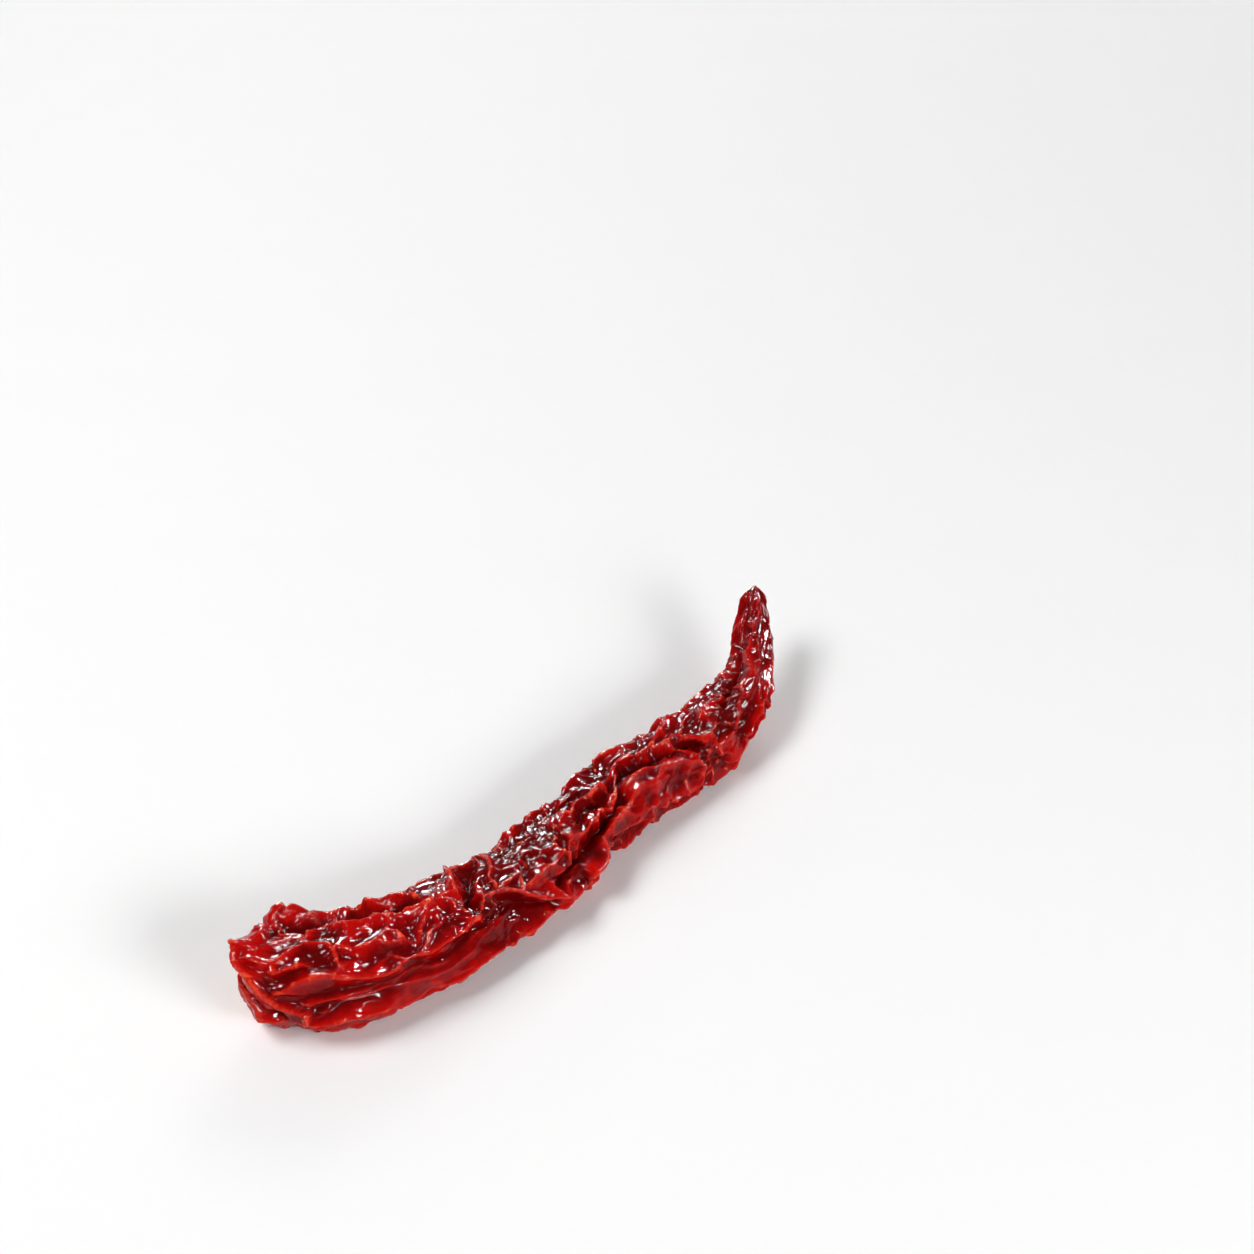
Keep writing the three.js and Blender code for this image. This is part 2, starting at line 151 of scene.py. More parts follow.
sideFolds = [
    (1.6, 1.2, [(12, -103), (24, -106), (36, -103), (48, -100), (60, -97), (76, -103), (92, -96),
                (108, -101), (122, -94)]),
    (1.3, 1.2, [(36, 58), (50, 50), (62, 60), (78, 52), (92, 60), (108, 54), (124, 62)]),
    (1.9, 1.4, [(8, 88), (20, 96), (34, 84), (48, 98), (60, 88), (74, 100), (88, 84), (104, 96),
                (118, 86), (138, 94)]),
    (-2.3, 1.5, [(6, 118), (18, 112), (30, 122), (44, 108), (58, 124), (70, 112), (86, 122), (100, 108),
                 (116, 118)]),
    (1.4, 1.2, [(10, 140), (24, 146), (40, 138), (56, 150), (72, 136), (90, 148), (108, 140)]),
    (-2.2, 1.5, [(12, 182), (28, 190), (44, 178), (62, 188), (80, 180), (98, 190), (114, 184)]),
    (1.4, 1.2, [(12, 228), (26, 222), (42, 230), (58, 218), (76, 232), (92, 222), (110, 230)]),
    (-1.9, 1.3, [(30, 250), (44, 244), (60, 252), (78, 262), (92, 252), (106, 262)]),
]
folds = stemFolds + waistFolds + middlePleats + tipFolds + sideFolds

# The folds' lines stray by these amounts in mm, over these lengths, with these seeds
foldLook = {
    "strays": [(0.9, 5, 5), (0.35, 2.2, 6)],
    "acrossSeed": 20,  # added to the seeds for the stray round the pod
    "leastRadius": 1.5,
    "crestFall": 1.2,  # how fast a crest falls off, in reaches
    "creasePower": 1.6,  # how square a crease is
}

# Crumpling that the drying starts from: facet size, how much longer than wide, crest height,
# crease depth and seed of the random draw
crumples = [
    (7.6, 1.8, 0.60, 0.45, 3),
    (3.6, 1.5, 0.34, 0.20, 17),
]
# A facet is a shallow bowl with a crest line round it, and creases run in a net of their own.
# Widths are shares of a facet's width.
crumpleLook = {
    "warp": 0.45,  # how far the lines stray
    "warpLength": 1.3,
    "bowlWidth": 0.3,
    "bowlLevel": 0.4,
    "bowlShare": 1.1,
    "crestWidth": 0.17,
    "crestShare": 0.75,
    "creaseScale": 0.83,
    "creaseStart": 7.7,
    "creaseSeed": 9,
    "creaseWidth": 0.16,
    "creasePower": 1.3,
    "creaseLevel": 0.15,
}

# Broad facets where the wall stays calmer: along, around, their reaches and how much calmer
calmFacets = [
    (121, -38, 9, 20, 0.75),
    (30, -74, 26, 27, 0.85),
    (69, -62, 8, 14, 0.55),
    (88, -60, 9, 14, 0.55),
    (52, 20, 7, 14, 0.3),
]


hashSteps = (127.1, 311.7, 74.7, 53.3)  # unrelated, so that neighbours get unrelated draws
hashSpread = 43758.5453
farAway = 99.0
tiny = 1e-9


def hashGrid(i, j, k, seed):  # a fixed random number between 0 and 1 for a grid point
    stepI, stepJ, stepK, stepSeed = hashSteps
    value = np.sin(i * stepI + j * stepJ + k * stepK + seed * stepSeed) * hashSpread
    return value - np.floor(value)


def smoothStep(value):
    v = np.clip(value, 0, 1)
    return v * v * (3 - 2 * v)


def smoothNoise(points, seed):  # between -1 and 1
    cell = np.floor(points)
    blend = smoothStep(points - cell)
    total = 0
    for dx in (0, 1):
        for dy in (0, 1):
            for dz in (0, 1):
                weight = ((blend[:, 0] if dx else 1 - blend[:, 0]) * (blend[:, 1] if dy else 1 - blend[:, 1])
                          * (blend[:, 2] if dz else 1 - blend[:, 2]))
                total = total + weight * hashGrid(cell[:, 0] + dx, cell[:, 1] + dy, cell[:, 2] + dz, seed)
    return total * 2 - 1


def facetDistances(points, seed):  # to the nearest and second nearest point that facets grow round
    cell = np.floor(points)
    nearest = np.full(len(points), farAway)
    second = np.full(len(points), farAway)
    steps = (-1, 0, 1)
    for step in [(a, b, c) for a in steps for b in steps for c in steps]:
        near = cell + step
        draws = [hashGrid(near[:, 0], near[:, 1], near[:, 2], seed + axis) for axis in range(3)]
        distance = np.linalg.norm(near + np.stack(draws, 1) - points, axis=1)
        second = np.minimum(second, np.maximum(nearest, distance))
        nearest = np.minimum(nearest, distance)
    return nearest, second


def turnBetween(start, end):  # degrees round the pod, between -180 and 180
    return (end - start + 180) % 360 - 180


def lineDistance(along, around, radius, line):
    best = np.full(len(along), farAway)
    for (startAlong, startAround), (endAlong, endAround) in zip(line, line[1:]):
        toX = startAlong - along
        toY = np.radians(turnBetween(around, startAround)) * radius
        stepX = endAlong - startAlong
        stepY = np.radians(endAround - startAround) * radius
        share = np.clip(-(toX * stepX + toY * stepY) / (stepX * stepX + stepY * stepY), 0, 1)
        best = np.minimum(best, np.hypot(toX + stepX * share, toY + stepY * share))
    return best


def followStations(place):  # uniform Catmull-Rom curve through the stations
    last = len(stations) - 1
    i = np.clip(np.floor(place).astype(int), 0, last - 1)
    f = (place - i)[:, None]
    p1 = stations[i]
    p2 = stations[i + 1]
    p0 = np.where((i > 0)[:, None], stations[np.maximum(i - 1, 0)], 2 * p1 - p2)
    p3 = np.where((i < last - 1)[:, None], stations[np.minimum(i + 2, last)], 2 * p2 - p1)
    return 0.5 * (2 * p1 + (p2 - p0) * f + (2 * p0 - 5 * p1 + 4 * p2 - p3) * f ** 2
                  + (3 * p1 - p0 - 3 * p2 + p3) * f ** 3)


def unit(vectors):
    return vectors / np.maximum(np.linalg.norm(vectors, axis=1), tiny)[:, None]


def calmness(along, around):  # 0 where the wall crumples freely, up to 1 on the broad facets
    share = np.ones(len(along))
    for facetAlong, facetAround, alongReach, aroundReach, calm in calmFacets:
        a = (along - facetAlong) / alongReach
        b = turnBetween(facetAround, around) / aroundReach
        share *= 1 - calm * np.exp(-a * a - b * b)
    return 1 - share


def foldStray(flat, seedStep):
    strays = foldLook["strays"]
    return sum(amount * smoothNoise(flat / length, seed + seedStep) for amount, length, seed in strays)


def foldHeight(along, around, radius, flat):
    a = along + foldStray(flat, 0)
    strayAcross = foldStray(flat, foldLook["acrossSeed"])
    b = around + np.degrees(strayAcross / np.maximum(radius, foldLook["leastRadius"]))
    crest = np.zeros(len(along))
    crease = np.zeros(len(along))
    for height, reach, line in folds:
        distance = lineDistance(a, b, radius, line) / reach
        if height > 0:
            crest = np.maximum(crest, height * np.exp(-foldLook["crestFall"] * distance))
        else:
            crease = np.minimum(crease, height * np.exp(-distance ** foldLook["creasePower"]))
    return crest + crease


def crumpleHeight(flat, facet, stretch, crest, crease, seed):
    look = crumpleLook
    warpPoints = flat / (facet * look["warpLength"])
    warp = np.stack([look["warp"] * smoothNoise(warpPoints, seed + i) for i in (1, 2, 3)], 1)
    points = flat / [facet * stretch, facet, facet] + warp
    nearest, second = facetDistances(points, seed)
    bowl = nearest ** 2 / (nearest ** 2 + look["bowlWidth"])
    edge = np.exp(-(second - nearest) / look["crestWidth"])
    creasePoints = points * look["creaseScale"] + look["creaseStart"]
    nearest, second = facetDistances(creasePoints, seed + look["creaseSeed"])
    line = np.exp(-((second - nearest) / look["creaseWidth"]) ** look["creasePower"])
    raised = look["crestShare"] * edge + look["bowlShare"] * (bowl - look["bowlLevel"])
    return crest * raised - crease * (line - look["creaseLevel"])


def podPoints(share, around):  # share from 0 at the stem end's middle to 1 at the tip, around in degrees
    form = podForm
    linePlaces = np.linspace(0, len(stations) - 1, lineSteps)
    line = followStations(linePlaces)[:, :3]
    lengths = np.r_[0, np.cumsum(np.linalg.norm(np.diff(line, axis=0), axis=1))]
    body = lengths[-1] - form["stemDepth"] - form["tipDepth"]
    wholeArc = form["stemArc"] + body + form["tipArc"]
    arc = share * wholeArc
    head = np.clip(arc / form["stemArc"], 0, 1) * math.pi / 2
    tail = np.clip((wholeArc - arc) / form["tipArc"], 0, 1) * math.pi / 2
    fullness = np.sin(head) * np.sin(tail)
    along = (form["stemDepth"] * (1 - np.cos(head)) + np.clip(arc - form["stemArc"], 0, body)
             + form["tipDepth"] * np.cos(tail))

    place = np.interp(along, lengths, linePlaces)
    here = followStations(place)
    middle, halfWidth, halfHeight = here[:, :3], here[:, 3], here[:, 4]
    radius = np.sqrt(halfWidth * halfHeight)
    ahead = followStations(np.minimum(place + tangentStep, len(stations) - 1))
    behind = followStations(np.maximum(place - tangentStep, 0))
    tangent = unit((ahead - behind)[:, :3])
    side = unit(np.cross([0, 0, 1], tangent))
    up = np.cross(tangent, side)

    angle = np.radians(around)
    across = halfWidth * fullness * np.sin(angle)
    rise = halfHeight * fullness * np.cos(angle)
    flat = np.stack([along, across, rise], 1)
    swell = [form["swellLength"], form["swellAcross"], form["swellAcross"]]
    relief = form["swellHeight"] * smoothNoise(flat / swell + form["swellStart"], form["swellSeed"])
    foldAlong = along + form["foldsBefore"] * smoothStep(along / form["foldsReach"])
    relief += foldHeight(foldAlong, around, radius, flat)
    calm = calmness(foldAlong, around)
    for crumple in crumples:
        relief += (1 - calm) * crumpleHeight(flat, *crumple)
    scarDistance = radius * fullness / form["scarRadius"] + pastStemEnd * (arc > form["stemArc"])
    scar = smoothStep((1 - scarDistance) * form["scarRadius"] / form["scarEdge"] + 0.5)
    thinness = np.minimum(1, radius / form["fullRadius"]) ** form["reliefPower"]
    freedom = smoothStep(fullness * form["endRise"]) * (1 - scar) * thinness
    relief *= freedom

    outward = unit(up * (np.cos(angle) / halfHeight)[:, None] + side * (np.sin(angle) / halfWidth)[:, None])
    outward = unit(outward * fullness[:, None] + tangent * (np.cos(tail) - np.cos(head))[:, None])
    offset = up * rise[:, None] + side * across[:, None] + outward * relief[:, None]
    slantAngle = math.radians(form["slantAround"])
    slantRise = (offset * (up * math.cos(slantAngle) + side * math.sin(slantAngle))).sum(1)
    slant = form["stemSlant"] * (1 - smoothStep(along / form["slantReach"]))
    points = middle + offset - tangent * (slant * slantRise)[:, None]
    points[:, 2] = np.maximum(points[:, 2], 0)
    # flat is the place before any relief, in mm, and freedom is the share of the relief that it takes
    marks = {"along": along, "calm": calm, "scar": scar, "scarDistance": scarDistance, "flat": flat,
             "freedom": freedom}
    return points, marks


def newPiece(name, mesh):
    piece = bpy.data.objects.new(name, mesh)
    bpy.context.scene.collection.objects.link(piece)
    return piece


def getPoints(mesh):
    flat = np.zeros(len(mesh.vertices) * 3)
    mesh.vertices.foreach_get("co", flat)
    return flat.reshape(-1, 3)


def setPoints(mesh, points):
    mesh.vertices.foreach_set("co", points.astype(np.float32).ravel())
    mesh.update()


def makePod():
    form = bmesh.new()
    bmesh.ops.create_uvsphere(form, u_segments=podForm["sides"], v_segments=podForm["rings"], radius=1)
    mesh = bpy.data.meshes.new("podSkin")
    form.to_mesh(mesh)
    form.free()
    ball = getPoints(mesh)
    share = np.arccos(np.clip(ball[:, 2], -1, 1)) / math.pi
    around = np.degrees(np.arctan2(ball[:, 1], ball[:, 0]))
    points, marks = podPoints(share, around)
    setPoints(mesh, points * metresPerMm)
    return newPiece("pod_skin", mesh), points, marks


# Drying: the wall is given more skin than it has room for, so that it buckles into crumples
drying = {
    "enlarge": 10,  # cloth behaves better when it isn't tiny
    "frames": 14,
    "quality": 4,
    "spareSkin": 0.08,
    "stretch": 20,
    "shear": 8,
    "bend": 0.3,
    "damping": 5,
    "mass": 0.3,
    "levels": 10,  # steps in which a mark is handed to the cloth
    "farthestMm": 1.7,  # how far a point may move
    "roomMm": 0.3,  # how far past the CAD box
}


def dryWall(pod, points, marks):
    mesh = pod.data.copy()
    setPoints(mesh, points * metresPerMm * drying["enlarge"])
    cloth = newPiece("dryingWall", mesh)
    for name in ("scar", "calm"):
        group = cloth.vertex_groups.new(name=name)
        for level in range(1, drying["levels"] + 1):
            chosen = np.flatnonzero(np.round(marks[name] * drying["levels"]) == level)
            group.add(chosen.tolist(), level / drying["levels"], "REPLACE")
    modifier = cloth.modifiers.new("drying", "CLOTH")
    settings = modifier.settings
    settings.quality = drying["quality"]
    settings.mass = drying["mass"]
    settings.tension_stiffness = settings.compression_stiffness = drying["stretch"]
    settings.shear_stiffness = drying["shear"]
    settings.bending_stiffness = drying["bend"]
    settings.tension_damping = settings.compression_damping = drying["damping"]
    settings.shear_damping = settings.air_damping = drying["damping"]
    settings.vertex_group_mass = "scar"  # the scar is woody and stays as it is
    settings.vertex_group_shrink = "calm"  # there the wall has no spare skin
    settings.shrink_min = -drying["spareSkin"]
    settings.shrink_max = 0
    settings.effector_weights.gravity = 0
    modifier.collision_settings.use_collision = False
    modifier.point_cache.frame_end = drying["frames"]
    scene = bpy.context.scene
    for number in range(1, drying["frames"] + 1):
        scene.frame_set(number)
    evaluated = cloth.evaluated_get(bpy.context.evaluated_depsgraph_get())
    dried = bpy.data.meshes.new_from_object(evaluated)
    shift = getPoints(dried) / (metresPerMm * drying["enlarge"]) - points
    bpy.data.objects.remove(cloth)
    scene.frame_set(1)
    distance = np.linalg.norm(shift, axis=1)
    print("drying moved the wall by", round(distance.mean(), 2), "mm, at most", round(distance.max(), 2))
    shift *= np.minimum(1, drying["farthestMm"] / np.maximum(distance, tiny))[:, None]
    room = drying["roomMm"]
    low = np.array(cadLow) / metresPerMm - [room, room, 0]
    high = np.array(cadHigh) / metresPerMm + room
    return np.clip(points + shift, low, high)


# Tightening: the skin is drawn smooth between its crests, which stay thin and sharp
tightening = {
    "rounds": 1,
    "hollowShare": 0.15,  # how far a hollow is filled in one round
    "crestShare": 0.04,  # how far a crest is worn down in one round
    "sharpenRounds": 3,  # of smoothing, which crests are measured against
    "sharpen": 1.3,  # how much of its height a crest gets once more
}

# The smallest facets, pressed into the wall once it has dried, with the same values as the crumples
finestCrumple = (2.5, 1.7, 0.17, 0.10, 41)

# How the finished wall's relief becomes the masks for the painted shade and glow in the colour, and for the
# gloss: rounds of smoothing and full height in mm
reliefMasks = {
    "crest": (2, 0.36),
    "ridge": (70, 1.0),
}

# Facets: faces that nearly line up turn to one plane, and stronger turns stay as sharp crests
facets = {
    "turnRounds": 24,
    "sameTurn": 0.13,  # difference of two face directions that still counts as one facet
    "moveRounds": 8,
}


class WallLinks:  # which points and which faces of the wall are neighbours
    def __init__(self, mesh):
        edges = np.zeros(len(mesh.edges) * 2, int)
        mesh.edges.foreach_get("vertices", edges)
        self.edges = edges.reshape(-1, 2)
        self.counts = np.bincount(edges, minlength=len(mesh.vertices))
        starts = np.zeros(len(mesh.polygons), int)
        totals = np.zeros(len(mesh.polygons), int)
        mesh.polygons.foreach_get("loop_start", starts)
        mesh.polygons.foreach_get("loop_total", totals)
        loopPoints = np.zeros(len(mesh.loops), int)
        loopEdges = np.zeros(len(mesh.loops), int)
        mesh.loops.foreach_get("vertex_index", loopPoints)
        mesh.loops.foreach_get("edge_index", loopEdges)
        corners = [loopPoints[starts + np.minimum(number, totals - 1)] for number in range(4)]
        self.corners = np.stack(corners, 1)  # a three-sided face has its last corner twice
        self.cornerCounts = np.bincount(self.corners.ravel(), minlength=len(mesh.vertices))
        loopFaces = np.repeat(np.arange(len(starts)), totals)
        self.facePairs = loopFaces[np.argsort(loopEdges, kind="stable")].reshape(-1, 2)

    def faceNormals(self, points):
        a, b, c, d = (points[self.corners[:, number]] for number in range(4))
        return unit(np.cross(c - a, d - b))

    def facetNormals(self, normals):
        first, second = self.facePairs.T
        spread = 2 * facets["sameTurn"] ** 2
        for _ in range(facets["turnRounds"]):
            weight = np.exp(-((normals[first] - normals[second]) ** 2).sum(1) / spread)
            columns = []
            for column in normals.T:
                total = column + np.bincount(first, weight * column[second], len(column))
                columns.append(total + np.bincount(second, weight * column[first], len(column)))
            normals = unit(np.stack(columns, 1))
        return normals

    def fitFacets(self, points):
        normals = self.facetNormals(self.faceNormals(points))[:, None, :]
        corners = self.corners.ravel()
        for _ in range(facets["moveRounds"]):
            toCentre = points[self.corners].mean(1)[:, None, :] - points[self.corners]
            moves = normals * (toCentre * normals).sum(2, keepdims=True)
            columns = [np.bincount(corners, moves[..., axis].ravel(), len(points)) for axis in range(3)]
            points = points + np.stack(columns, 1) / self.cornerCounts[:, None]
        return points

    def meanOf(self, values):
        total = np.bincount(self.edges[:, 0], values[self.edges[:, 1]], len(values))
        total += np.bincount(self.edges[:, 1], values[self.edges[:, 0]], len(values))
        return total / self.counts

    def mean(self, points):
        return np.stack([self.meanOf(column) for column in points.T], 1)


def wallNormals(mesh, points):
    setPoints(mesh, points * metresPerMm)
    normals = np.zeros(len(points) * 3)
    mesh.vertex_normals.foreach_get("vector", normals)
    return normals.reshape(-1, 3)


def tightenWall(mesh, points, links, marks):
    points = links.fitFacets(points)
    for _ in range(tightening["rounds"]):
        normals = wallNormals(mesh, points)
        lift = ((links.mean(points) - points) * normals).sum(1)
        share = np.where(lift > 0, tightening["hollowShare"], tightening["crestShare"])
        points += normals * (lift * share)[:, None]
    smoothed = points
    for _ in range(tightening["sharpenRounds"]):
        smoothed = links.mean(smoothed)
    normals = wallNormals(mesh, points)
    height = links.meanOf(np.maximum(((points - smoothed) * normals).sum(1), 0)) * tightening["sharpen"]
    height += crumpleHeight(marks["flat"], *finestCrumple) * marks["freedom"] * (1 - marks["calm"])
    points += normals * height[:, None]
    points[:, 2] = np.maximum(points[:, 2], 0)
    return points


def reliefOf(mesh, points, links):
    normals = wallNormals(mesh, points)
    masks = {}
    smoothed = points
    done = 0
    for name, (rounds, full) in reliefMasks.items():
        while done < rounds:
            smoothed = links.mean(smoothed)
            done += 1
        height = ((points - smoothed) * normals).sum(1)
        masks[name] = np.clip(height / full, -1, 1)
    return masks


def addAttribute(mesh, name, values):
    kind, field = ("FLOAT", "value") if values.ndim == 1 else ("FLOAT_VECTOR", "vector")
    attribute = mesh.attributes.new(name, kind, "POINT")
    attribute.data.foreach_set(field, values.astype(np.float32).ravel())


class Shade:  # one node socket, so that shader maths can be written as sums
    def __init__(self, tree, socket):
        self.tree = tree
        self.socket = socket

    def maths(self, operation, first, second):
        return self.tree.node("ShaderNodeMath", {"operation": operation}, {0: first, 1: second})

    def __add__(self, other):
        return self.maths("ADD", self, other)

    def __radd__(self, other):
        return self.maths("ADD", other, self)

    def __sub__(self, other):
        return self.maths("SUBTRACT", self, other)

    def __rsub__(self, other):
        return self.maths("SUBTRACT", other, self)

    def __mul__(self, other):
        return self.maths("MULTIPLY", self, other)

    def __rmul__(self, other):
        return self.maths("MULTIPLY", other, self)

    def __pow__(self, other):
        return self.maths("POWER", self, other)


class ShaderTree:
    def __init__(self, material):
        material.use_nodes = True
        self.tree = material.node_tree
        self.shader = self.tree.nodes["Principled BSDF"]

    def connect(self, socket, value):
        if isinstance(value, Shade):
            self.tree.links.new(value.socket, socket)
        elif isinstance(value, (tuple, list)) and socket.type == "RGBA" and len(value) == 3:
            socket.default_value = (*value, 1)
        else:
            socket.default_value = value

    def node(self, kind, settings=None, values=None, output=0):
        made = self.tree.nodes.new(kind)
        for name, setting in (settings or {}).items():
            if name == "stops":
                ramp = made.color_ramp
                while len(ramp.elements) < len(setting):
                    ramp.elements.new(0.5)
                for element, (position, colour) in zip(ramp.elements, setting):
                    element.position = position
                    element.color = (*colour, 1)
            else:
                setattr(made, name, setting)
        for name, value in (values or {}).items():
            self.connect(made.inputs[name], value)
        return Shade(self, made.outputs[output])

    def surface(self, values):
        for name, value in values.items():
            self.connect(self.shader.inputs[name], value)

    def attribute(self, name, output="Fac"):
        return self.node("ShaderNodeAttribute", {"attribute_name": name}, output=output)

    def noise(self, points, scale, detail=3.0, roughness=0.5, distortion=0.0):
        values = {"Vector": points, "Scale": scale, "Detail": detail, "Roughness": roughness,
                  "Distortion": distortion}
        return self.node("ShaderNodeTexNoise", {}, values, "Fac")

    def range(self, value, low, high, newLow=0.0, newHigh=1.0):
        values = {"Value": value, "From Min": low, "From Max": high, "To Min": newLow, "To Max": newHigh}
        return self.node("ShaderNodeMapRange", {"clamp": True, "interpolation_type": "SMOOTHSTEP"}, values)

    def vector(self, operation, *values):
        return self.node("ShaderNodeVectorMath", {"operation": operation}, dict(enumerate(values)), "Vector")

    def mix(self, share, first, second):
        values = {"Factor": share, "A": first, "B": second}
        return self.node("ShaderNodeMix", {"data_type": "RGBA"}, values, "Result")


# The finest wrinkles are thin raised lines, too fine for the wall's points: width of a cell and of a
# line in mm, how much longer than wide a cell is, how far the lines stray and their height in mm, and
# how strongly they are tinted with a painted glow
wrinkleNets = [
    {"cell": 3.8, "line": 0.34, "stretch": 1.8, "stray": 3.4, "height": 0.13, "glowTint": 0.9},
    {"cell": 2.1, "line": 0.26, "stretch": 1.6, "stray": 1.8, "height": 0.06, "glowTint": 0.7},
]


# The lines stray and fade with noises whose scales are for a cell 1 mm wide
netLook = {
    "strayScale": 0.7,
    "strayDetail": 3.0,
    "fadeScale": 1.3,
    "fadeDetail": 2,
    "fadeRange": (0.40, 0.60),
    "faintest": 0.15,
}


def wrinkleNet(tree, flat, net):  # 1 on the lines and 0 between them
    look = netLook
    driftValues = {"Vector": flat, "Scale": look["strayScale"] / net["cell"], "Detail": look["strayDetail"]}
    drift = tree.node("ShaderNodeTexNoise", {}, driftValues, "Color")
    stray = (net["stray"],) * 3
    strayed = tree.vector("MULTIPLY_ADD", drift, stray, flat)
    shrink = (1 / net["cell"] / net["stretch"], 1 / net["cell"], 1 / net["cell"])
    cellValues = {"Vector": tree.vector("MULTIPLY", strayed, shrink), "Scale": 1.0}
    distance = tree.node("ShaderNodeTexVoronoi", {"feature": "DISTANCE_TO_EDGE"}, cellValues, "Distance")
    line = 1 - tree.range(distance, 0, net["line"] / net["cell"])
    fadeNoise = tree.noise(flat, look["fadeScale"] / net["cell"], look["fadeDetail"])
    return line * tree.range(fadeNoise, *look["fadeRange"], look["faintest"], 1.0)


# Colours are linear. The skin's own tone runs from deep to bright red with blotches; the maroon in the folds
# is painted shade, and the orange red on the thin crests and wrinkle lines is painted glow and highlight.
skinLook = {
    "deep": (0.115, 0.0003, 0.0008),
    "red": (0.265, 0.0008, 0.0012),
    "bright": (0.46, 0.0025, 0.0015),
    "fold": (0.115, 0.0004, 0.0007),
    "crest": (0.60, 0.016, 0.004),
    "edge": (0.90, 0.080, 0.030),
    "scarRim": (0.75, 0.10, 0.008),
    "scarPale": (0.90, 0.62, 0.30),
    "scarCream": (0.78, 0.42, 0.13),
    "scarBrown": (0.26, 0.10, 0.03),
    "roughness": (0.07, 0.12),  # on the glossiest and the dullest skin
    "woodRoughness": 0.5,  # added on the scar
    "specular": 0.10,
    "coat": 0.10,
    "coatRoughness": 0.05,
    "grainHeight": 0.01,  # mm
    "scarRings": 17,  # how close the scar's rings lie
}

# Noises on Object coordinates: scale in cells per metre, detail, roughness and distortion
skinNoises = {
    "blotch": (60, 3, 0.55, 0.6),
    "mottle": (420, 4, 0.6, 0.4),
    "cork": (900, 4, 0.7),
    "speck": (1500, 2, 0.5),
    "edge": (380, 4, 0.6),
    "grain": (2400, 4, 0.6, 0.3),
    "pores": (700, 3, 0.5, 0.8),
}


